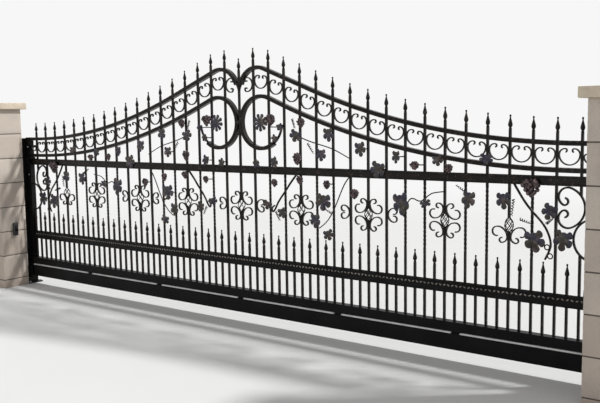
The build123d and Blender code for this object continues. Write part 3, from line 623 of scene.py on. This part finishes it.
# drop where the crest meets the middle bar, and the clasp that holds the two rings to it
dropLook = {"foot": 1893 * mm, "steps": 16,
            "profile": ((0, 0), (11, 0), (13, 6), (16, 22), (24, 42), (29, 52), (26, 60), (0, 63))}
claspLook = {"level": ringCentre[1], "half": (27 * mm, 24 * mm, 17 * mm), "round": 4 * mm}


def addMiddle(drop, clasp):
    bm = bmesh.new()
    addTurned(bm, drop["profile"], onLeaf(0, drop["foot"]), drop["steps"])
    middle, half = onLeaf(0, clasp["level"]), Vector(clasp["half"])
    addBox(bm, middle - half, middle + half, clasp["round"], segments=3)
    addPiece("crestDropAndClasp", bm, [ironPaint], "leaf", sharp=50)


addMiddle(dropLook, claspLook)

# pale strips on the ledge of the track, one in each bay of the slot: painted light that stands for
# the light seen through the slot
slotLightLook = {"height": 11 * mm, "front": 2 * mm, "back": 1 * mm, "round": 2 * mm, "end": 4 * mm}


def addSlotLightStrips(look):
    bm = bmesh.new()
    trackLow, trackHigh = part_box("carrier_track")
    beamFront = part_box("box_beam")[0].y
    ends = sorted({round(vert.co.x, 4) for vert in nodes["beam_spacers"].data.vertices})
    for first, last in zip(ends[1::2], ends[2::2]):  # from one spacer to the next
        low = Vector((first + look["end"], trackLow.y + look["front"], trackHigh.z))
        high = Vector((last - look["end"], beamFront - look["back"], trackHigh.z + look["height"]))
        addBox(bm, low, high, look["round"], segments=3)
    addPiece("paintedSlotLightStrips", bm, [paintedSlotLight], "leaf")


addSlotLightStrips(slotLightLook)

# stems of the vines, their stalks, rings and tendrils
stemLook = {
    "out": 14,
    "thick": 8.6,
    "thin": 5.0,
    "taper": 0.2,
    "stems": (
        ("thick", inPanel, ((7.7, 1.02), (6.9, 0.925), (6.2, 0.82), (5.2, 0.69), (4.72, 0.585),
                            (4.4, 0.56), (4.3, 0.62), (4.7, 0.64))),
        ("thin", inPanel, ((14.1, 1.02), (13.55, 0.955), (13.1, 0.865), (12.3, 0.67),
                           (11.6, 0.54), (10.9, 0.46), (10.3, 0.42))),
        ("thick", inPanel, ((30.4, 1.02), (31.1, 0.89), (31.9, 0.77), (33.2, 0.63),
                            (33.75, 0.47), (33.5, 0.38), (33.2, 0.315))),
        ("thin", inPanel, ((19.9, 0.62), (20.2, 0.74), (20.7, 0.83), (21.7, 0.77), (22.6, 0.87),
                           (23.4, 0.89), (24.2, 0.9))),
        ("thin", overRail, ((7.6, 246), (8.7, 214), (9.9, 188), (11.9, 152), (13.1, 112),
                            (14.1, 75))),
    ),
    # a stalk runs from its bar to its leaf: share of the way, rise, out and radius in mm
    "stalk": ((0.0, 4, 9, 4.5), (0.5, 6, 15, 4.0), (1.0, 0, 20, 3.5)),
    "rings": (inPanel(33.4, 0.433), inPanel(33.66, 0.352)),
    "ringRadius": 16 * mm,
    "ringWire": 4.2 * mm,
    "ringOut": 22,
    "tendrils": (
        (inPanel, (30.45, 0.86), (30.3, 0.70)), (inPanel, (31.05, 0.675), (32.2, 0.635)),
        (inPanel, (33.3, 0.65), (33.8, 0.70)), (inPanel, (4.9, 0.57), (5.4, 0.47)),
        (inPanel, (11.9, 0.6), (10.8, 0.66)), (inPanel, (26.2, 0.9), (25.2, 0.97)),
        (overRail, (7.2, 370), (7.5, 300)), (overRail, (9.1, 185), (9.8, 110)),
    ),
    "tendrilTurns": 6,
    "turnPoints": 8,
    "tendrilReach": 8,
    "tendrilClose": 0.35,
    "tendrilOut": 18,
    "tendrilWire": 3.6,
    "tendrilTaper": 1.2,
}

# leaves: bar they hang on, place, width and height in mm, turn in degrees
leafSpots = (
    (4, (ringCentre[0] + 0.03 * ringRadius, ringCentre[1]), 140, 140, 20),
    (4, (ringCentre[0] + 0.98 * ringRadius, ringCentre[1] - 0.2 * ringRadius), 62, 62, 200),
    (4, (ringCentre[0] + 0.7 * ringRadius, ringCentre[1] - 0.62 * ringRadius), 60, 60, 150),
    (4, inPanel(3.85, 0.64), 96, 72, 160),
    (6, inPanel(5.8, 0.56), 84, 84, 200),
    (10, inPanel(9.95, 0.5), 92, 112, 180),
    (12, inPanel(11.55, 0.355), 96, 82, 200),
    (10, inPanel(10.95, 0.714), 140, 130, 175),
    (20, inPanel(19.7, 0.745), 125, 160, 190),
    (22, inPanel(22.2, 0.778), 84, 60, 20),
    (26, inPanel(26.4, 0.83), 96, 120, 170),
    (30, inPanel(29.6, 0.838), 98, 112, 185),
    (34, inPanel(33.55, 0.758), 100, 104, 160),
    (32, inPanel(32.35, 0.474), 134, 140, 190),
    (34, inPanel(34.7, 0.502), 120, 132, 170),
    (2, overRail(2.45, 24), 66, 76, 10),
    (4, overRail(4.85, 34), 70, 92, 200),
    (8, overRail(7.6, 240), 112, 92, 160),
    (12, overRail(11.65, 250), 92, 104, 185),
    (10, overRail(10.75, 98), 88, 92, 180),
    (16, overRail(15.3, 146), 92, 108, 190),
    (18, overRail(17.2, 2), 120, 118, 165),
    (20, overRail(19.2, 96), 62, 90, 180),
    (24, overRail(23.4, 78), 80, 74, 190),
    (28, overRail(28.0, 96), 96, 70, 175),
)
# grape clusters: bar, place, width and height in mm
grapeSpots = (
    (4, (ringCentre[0] + 0.55 * ringRadius, ringCentre[1] + 0.1 * ringRadius), 96, 92),
    (8, overRail(8.35, 342), 72, 78),
    (8, overRail(7.8, 70), 76, 104),
    (22, overRail(21.15, 42), 72, 66),
    (24, overRail(24.5, 30), 70, 66),
    (4, inPanel(4.85, 0.905), 62, 66),
    (8, inPanel(8.1, 0.95), 66, 70),
    (12, inPanel(11.4, 0.912), 64, 70),
    (14, inPanel(14.65, 0.828), 74, 80),
    (32, inPanel(32.0, 0.98), 120, 124),
)


def tendrilRun(start, end, hand, look):
    run = []
    points = look["tendrilTurns"] * look["turnPoints"]
    sideways = Vector((start[1] - end[1], end[0] - start[0])).normalized()
    for step in range(points + 1):
        share = step / points
        angle = math.tau * look["tendrilTurns"] * share
        coil = look["tendrilReach"] * mm * (1 - look["tendrilClose"] * share)
        across = sideways * coil * math.cos(angle)
        x = start[0] + (end[0] - start[0]) * share + across.x
        z = start[1] + (end[1] - start[1]) * share + across.y
        out = look["tendrilOut"] + look["tendrilReach"] * math.sin(angle)
        run.append((onLeaf(hand * x, z, out), look["tendrilWire"] - look["tendrilTaper"] * share))
    return run


def addRing(bm, middle, look):
    place = Matrix.Translation(middle + Vector((look["ringRadius"], 0, 0)))
    wire = bmesh.ops.create_circle(bm, segments=8, radius=look["ringWire"], matrix=place)["verts"]
    edges = list({edge for vert in wire for edge in vert.link_edges})
    bmesh.ops.spin(bm, geom=wire + edges, cent=middle, axis=(0, 1, 0), angle=math.tau, steps=20,
                   use_merge=True)


def addStems(look):
    bm = bmesh.new()
    runs, fine = [], []
    for hand in (1, -1):
        for kind, spot, places in look["stems"]:
            run = []
            for step, (x, z) in enumerate(spot(*place) for place in places):
                thinner = 1 - look["taper"] * step / (len(places) - 1)
                run.append((onLeaf(hand * x, z, look["out"]), look[kind] * thinner))
            runs.append(run)
        for number, (x, z), *size in leafSpots + grapeSpots:
            bar = number * barPitch
            runs.append([(onLeaf(hand * (bar + (x - bar) * share), z + rise * mm, out), radius)
                         for share, rise, out, radius in look["stalk"]])
        for spot, start, end in look["tendrils"]:
            fine.append(tendrilRun(spot(*start), spot(*end), hand, look))
        for x, z in look["rings"]:
            addRing(bm, onLeaf(hand * x, z, look["ringOut"]), look)
    addRods(bm, runs, smoothness=6)
    addRods(bm, fine, sides=6, smoothness=2)
    addPiece("vineStems", bm, [ironPaint], "leaf", ["vine_stems"], sharp=60)


addStems(stemLook)

# form of a leaf: each lobe has an angle and a reach, heights are in mm
leafForm = {"lobes": ((90, 1.0), (30, 0.95), (150, 0.95), (-30, 0.86), (210, 0.86)), "centre": 0.64,
            "round": 0.36, "notch": 27, "heart": 0.47, "inner": 0.55, "segments": 72, "rings": 4,
            "ringShare": 0.98, "dome": 8.0, "droop": (-0.25, 0.35), "curl": (0.5, 1.2), "vein": 2.6,
            "veinReach": 30, "veinRise": 1.6, "lowest": 0.3, "thickness": 2.2, "start": 21.0}
# the large leaf in each ring has more and narrower lobes
ringLobes = tuple((degrees, 1.0) for degrees in range(10, 360, 40))
ringLeafForm = dict(leafForm, lobes=ringLobes, centre=0.74, round=0.23, notch=17, heart=0.36)


def lobeReach(degrees, look):  # reach of the lobes at an angle, and the angle to its nearest vein
    best, off = look["heart"], 180.0
    for angle, reach in look["lobes"]:
        away = abs((degrees - angle + 180) % 360 - 180)
        off = min(off, away)
        side = look["centre"] * math.sin(math.radians(away))
        if away < look["notch"] and side < look["round"]:
            chord = math.sqrt(look["round"] ** 2 - side ** 2)
            best = max(best, reach * (look["centre"] * math.cos(math.radians(away)) + chord))
    return best, off


def leafSpan(look):  # middle and half size of the outline of a leaf of radius 1
    rim = []
    for degrees in range(0, 360, 5):
        angle, reach = math.radians(degrees), lobeReach(degrees, look)[0]
        rim.append((reach * math.cos(angle), reach * math.sin(angle)))
    low = [min(point[i] for point in rim) for i in range(2)]
    high = [max(point[i] for point in rim) for i in range(2)]
    return [(a + b) / 2 for a, b in zip(low, high)], [(b - a) / 2 for a, b in zip(low, high)]


def addLeaf(bm, place, width, height, turn, hand, look, seed):
    part = bmesh.new()
    bmesh.ops.create_circle(part, cap_ends=True, segments=look["segments"], radius=1.0)
    for ring in range(look["rings"]):
        bmesh.ops.inset_individual(part, faces=[max(part.faces, key=lambda f: len(f.verts))],
                                   thickness=look["ringShare"] / (look["rings"] + 1))
    bmesh.ops.poke(part, faces=[max(part.faces, key=lambda f: len(f.verts))])
    rand = random.Random(seed)
    droop, curl = rand.uniform(*look["droop"]), rand.uniform(*look["curl"])
    middle, half = leafSpan(look)
    for vert in part.verts:
        share = min(1.0, Vector((vert.co.x, vert.co.y)).length)
        angle = math.atan2(vert.co.y, vert.co.x)
        reach, off = lobeReach(math.degrees(angle), look)
        reach = share * (reach * share + look["inner"] * (1 - share))
        x = (reach * math.cos(angle) - middle[0]) / half[0]
        y = (reach * math.sin(angle) - middle[1]) / half[1]
        blade = look["dome"] * (1 - (reach * curl) ** 2) + look["dome"] * droop * y
        wave = math.cos(math.pi * min(off, look["veinReach"]) / look["veinReach"])
        quilt = look["vein"] * wave * min(1.0, reach * look["veinRise"])
        vert.co = Vector((x * width / 2, y * height / 2, max(look["lowest"], blade + quilt)))
    back = bmesh.ops.extrude_face_region(part, geom=part.faces[:], use_keep_orig=True)["geom"]
    bmesh.ops.translate(part, verts=[item for item in back if isinstance(item, bmesh.types.BMVert)],
                        vec=(0, 0, -look["thickness"]))
    lowest = min(vert.co.z for vert in part.verts)
    bmesh.ops.translate(part, verts=part.verts, vec=(0, 0, look["start"] - lowest))
    away = Matrix(((hand, 0, 0, 0), (0, 0, -1, 0), (0, 1, 0, 0), (0, 0, 0, 1)))
    matrix = Matrix.Translation(onLeaf(hand * place[0], place[1])) @ Matrix.Scale(mm, 4) @ away
    matrix = matrix @ Matrix.Rotation(math.radians(turn), 4, "Z")
    bmesh.ops.transform(part, verts=part.verts, matrix=matrix)
    joinPart(bm, part)


bm = bmesh.new()
for seed, (number, place, width, height, turn, hand) in enumerate(bothHalves(leafSpots)):
    spot = seed % len(leafSpots)  # a leaf and its mirror image have the same seed
    addLeaf(bm, place, width, height, turn, hand, leafForm if spot else ringLeafForm, spot)
addPiece("vineLeaves", bm, [leafPatina], "leaf", ["vine_leaves"], 60)

# grape clusters of overlapping round grapes, wide above and pointed below
clusterLook = {"rows": ((0.40, 3), (0.28, 4), (0.14, 5), (0.0, 4), (-0.13, 4), (-0.26, 3),
                        (-0.37, 2), (-0.46, 1)),
               "rowShare": 0.86, "grape": 0.125, "sizes": (0.9, 1.08), "spread": 0.205,
               "start": 20.0, "behind": 0.4, "before": 1.1, "jitter": 0.035}


def addCluster(bm, place, width, height, hand, look, rand):
    radius = look["grape"] * width
    for row, (up, count) in enumerate(look["rows"]):
        for item in range(count):
            across = (item - (count - 1) / 2) * look["spread"] * width
            across += rand.uniform(-1, 1) * look["jitter"] * width
            out = look["start"] + radius * look["behind" if (item + row) % 2 else "before"]
            rise = up * height * look["rowShare"] + rand.uniform(-1, 1) * look["jitter"] * width
            z = place[1] + rise * mm
            size = radius * rand.uniform(*look["sizes"]) * mm
            matrix = Matrix.Translation(onLeaf(hand * (place[0] + across * mm), z, out))
            bmesh.ops.create_uvsphere(bm, u_segments=8, v_segments=6, radius=size, matrix=matrix)


bm = bmesh.new()
rand = random.Random(7)
for number, place, width, height, hand in bothHalves(grapeSpots):
    addCluster(bm, place, width, height, hand, clusterLook, rand)
addPiece("grapeClusters", bm, [grapePatina], "leaf", ["grape_clusters"], 80)

# light beam eyes: rounded cases with a dark window towards the opening
eyeLook = {"depth": 35 * mm, "round": 9 * mm, "window": (34 * mm, 74 * mm), "windowDepth": 6 * mm,
           "windowRound": 1.2 * mm, "proud": 1.5 * mm}


def addEyes(look):
    bm = bmesh.new()
    low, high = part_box("beam_eyes")
    width, height = look["window"]
    for wall, inward in ((low.x, 1), (high.x, -1)):
        front = wall + inward * look["depth"]
        first, last = sorted((wall, front - inward * look["proud"]))
        addBox(bm, Vector((first, low.y, low.z)), Vector((last, high.y, high.z)), look["round"],
               segments=4)
        middle = (low.z + high.z) / 2
        before = set(bm.faces)
        first, last = sorted((front, front - inward * look["windowDepth"]))
        addBox(bm, Vector((first, -width / 2, middle - height / 2)),
               Vector((last, width / 2, middle + height / 2)), look["windowRound"])
        for face in bm.faces:
            if face not in before:
                face.material_index = 1
    addPiece("beamEyeCases", bm, [eyeCase, eyeWindow], "posts", ["beam_eyes"],
             sharp=40)


addEyes(eyeLook)

# hexagon bolts with washers through the floor plates
boltLook = {"nodes": ("receiving_post", "guide_post", "front_carriage", "rear_carriage"),
            "inset": 18 * mm, "plate": 12 * mm, "washer": ((0, 0), (13, 0), (13, 2.5), (0, 2.5)),
            "head": ((0, 2.5), (11, 2.5), (11, 9), (9.5, 10.5), (0, 10.5))}


def addBolts(look):
    bm = bmesh.new()
    for node in look["nodes"]:
        low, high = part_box(node)
        for x in (low.x + look["inset"], high.x - look["inset"]):
            for y in (low.y + look["inset"], high.y - look["inset"]):
                foot = Vector((x, y, low.z + look["plate"]))
                addTurned(bm, look["washer"], foot, steps=16)
                addTurned(bm, look["head"], foot, steps=6)
    addPiece("anchorBolts", bm, [zincSteel], "posts", sharp=25)


addBolts(boltLook)

# round bolt heads above and below the straight rail on both stiles
studLook = {"levels": (1130 * mm, 1412 * mm),
            "head": ((0, 0), (9, 0), (9, 2), (7.5, 4.5), (4, 6.5), (0, 7.2))}


def addStuds(look):
    bm = bmesh.new()
    for node in ("left_stile", "right_stile"):
        low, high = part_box(node)
        for level in look["levels"]:
            for y, side in ((low.y, -1), (high.y, 1)):
                stud = bmesh.new()
                addTurned(stud, look["head"], Vector())
                place = Matrix.Translation(((low.x + high.x) / 2, y, level))
                turn = Matrix.Rotation(-side * math.pi / 2, 4, "X")
                bmesh.ops.transform(stud, verts=stud.verts, matrix=place @ turn)
                joinPart(bm, stud)
    addPiece("stileStuds", bm, [zincSteel], "leaf", sharp=40)


addStuds(studLook)

# finishes of the solids that stay
finishes = {
    beamPaint: ("box_beam", "carrier_track", "beam_spacers", "left_stile", "right_stile",
                "tail_top_rail", "tail_upright", "tail_brace", "receiving_post", "guide_post",
                "lower_catch", "upper_catch"),
    zincSteel: ("front_carriage", "front_carriage_wheels", "rear_carriage", "rear_carriage_wheels",
                "front_guide_bracket", "rear_guide_bracket"),
    blackNylon: ("front_guide_roller", "rear_guide_roller"),
}
finishOf = {node: material for material, names in finishes.items() for node in names}
for name, node in nodes.items():
    node.data.materials.clear()
    node.data.materials.append(finishOf.get(name, ironPaint))
print("finished", len(nodes), "solids")

# floor, light and the camera at the angle of the photograph
# each lamp has its place from the middle of the leaf, its size in metres and its power in watts
studio = {"floor": (0.72, 0.72, 0.71), "floorSize": 60.0, "floorSpeck": 0.985, "skyLight": 0.44,
          "sun": 3.4, "sunFrom": (0.75, 0.55, 0.85), "sunAngle": 6,
          "fadeFrom": 5.0, "fadeTo": 13.0, "backdrop": 0.93,
          "lamps": (((-6.5, -6.0, 4.5), 5.0, 54.0), ((1.5, -7.5, 3.0), 4.0, 30.0)), "lampsAim": 0.9,
          "eye": (4.267, -4.869, 1.680), "turn": 37.013, "drop": 6.087, "roll": -0.851,
          "lens": 47.787, "sensor": 36, "sight": 200}


def addFloor(look):
    bm = bmesh.new()
    bmesh.ops.create_grid(bm, x_segments=8, y_segments=8, size=look["floorSize"] / 2)
    mesh = bpy.data.meshes.new("floor")
    bm.to_mesh(mesh)
    bm.free()
    floor = bpy.data.objects.new("floor", mesh)
    bpy.context.scene.collection.objects.link(floor)
    material, tree, shader, coords = newMaterial("pale floor", roughness=0.9, specular=0.2)
    darker = tuple(part * look["floorSpeck"] for part in look["floor"])
    broad = noiseNode(tree, coords, scale=1.5)
    shade = rampNode(tree, broad, [(0.3, darker), (0.7, look["floor"])])
    tree.links.new(shade, shader.inputs["Base Color"])
    length = tree.nodes.new("ShaderNodeVectorMath")
    length.operation = "DISTANCE"
    length.inputs[1].default_value = (leafX, leafY, 0)
    tree.links.new(coords, length.inputs[0])
    far = tree.nodes.new("ShaderNodeMapRange")  # far away the floor fades to the backdrop
    far.interpolation_type = "SMOOTHSTEP"
    far.inputs["From Min"].default_value = look["fadeFrom"]
    far.inputs["From Max"].default_value = look["fadeTo"]
    tree.links.new(length.outputs["Value"], far.inputs["Value"])
    glow = tree.nodes.new("ShaderNodeEmission")
    glow.inputs["Color"].default_value = (*(look["backdrop"],) * 3, 1)
    fade = tree.nodes.new("ShaderNodeMixShader")
    tree.links.new(far.outputs["Result"], fade.inputs[0])
    tree.links.new(shader.outputs[0], fade.inputs[1])
    tree.links.new(glow.outputs[0], fade.inputs[2])
    tree.links.new(fade.outputs[0], tree.nodes["Material Output"].inputs["Surface"])
    mesh.materials.append(material)


def addLight(look):
    world = bpy.data.worlds.new("studio")
    bpy.context.scene.world = world
    world.use_nodes = True
    tree = world.node_tree
    tree.nodes.clear()
    soft = tree.nodes.new("ShaderNodeBackground")
    soft.inputs["Color"].default_value = (*white, 1)
    soft.inputs["Strength"].default_value = look["skyLight"]
    shown = tree.nodes.new("ShaderNodeBackground")
    shown.inputs["Color"].default_value = (*(look["backdrop"],) * 3, 1)
    path = tree.nodes.new("ShaderNodeLightPath")
    mix = tree.nodes.new("ShaderNodeMixShader")
    out = tree.nodes.new("ShaderNodeOutputWorld")
    seen = path.outputs["Is Camera Ray"]
    for name in ("Is Glossy Ray", "Is Transmission Ray"):
        either = tree.nodes.new("ShaderNodeMath")
        either.operation = "MAXIMUM"
        tree.links.new(seen, either.inputs[0])
        tree.links.new(path.outputs[name], either.inputs[1])
        seen = either.outputs[0]
    tree.links.new(seen, mix.inputs[0])
    tree.links.new(soft.outputs[0], mix.inputs[1])
    tree.links.new(shown.outputs[0], mix.inputs[2])
    tree.links.new(mix.outputs[0], out.inputs[0])
    sun = bpy.data.lights.new("sun", "SUN")
    sun.energy = look["sun"]
    sun.angle = math.radians(look["sunAngle"])
    holder = bpy.data.objects.new("sun", sun)
    holder.rotation_euler = Vector(look["sunFrom"]).to_track_quat("Z", "Y").to_euler()
    bpy.context.scene.collection.objects.link(holder)
    target = Vector((leafX, leafY, look["lampsAim"]))
    for number, (place, size, power) in enumerate(look["lamps"]):
        lamp = bpy.data.lights.new("softbox%d" % number, "AREA")
        lamp.size = size
        lamp.energy = power
        holder = bpy.data.objects.new("softbox%d" % number, lamp)
        spot = Vector((leafX + place[0], leafY + place[1], place[2]))
        holder.location = spot
        holder.rotation_euler = (spot - target).to_track_quat("Z", "Y").to_euler()
        bpy.context.scene.collection.objects.link(holder)


def addCamera(look):
    camera = bpy.data.cameras.new("camera")
    camera.lens = look["lens"]
    camera.sensor_width = look["sensor"]
    camera.clip_end = look["sight"]
    holder = bpy.data.objects.new("camera", camera)
    bpy.context.scene.collection.objects.link(holder)
    place = Matrix.Translation((leafX + look["eye"][0], leafY + look["eye"][1], look["eye"][2]))
    turn = Matrix.Rotation(math.radians(look["turn"]), 4, "Z")
    tilt = Matrix.Rotation(math.radians(90 - look["drop"]), 4, "X")
    roll = Matrix.Rotation(math.radians(look["roll"]), 4, "Z")
    holder.matrix_world = place @ turn @ tilt @ roll
    bpy.context.scene.camera = holder


addFloor(studio)
addLight(studio)
addCamera(studio)
bpy.context.scene.view_settings.view_transform = "Standard"
print("studio ready")
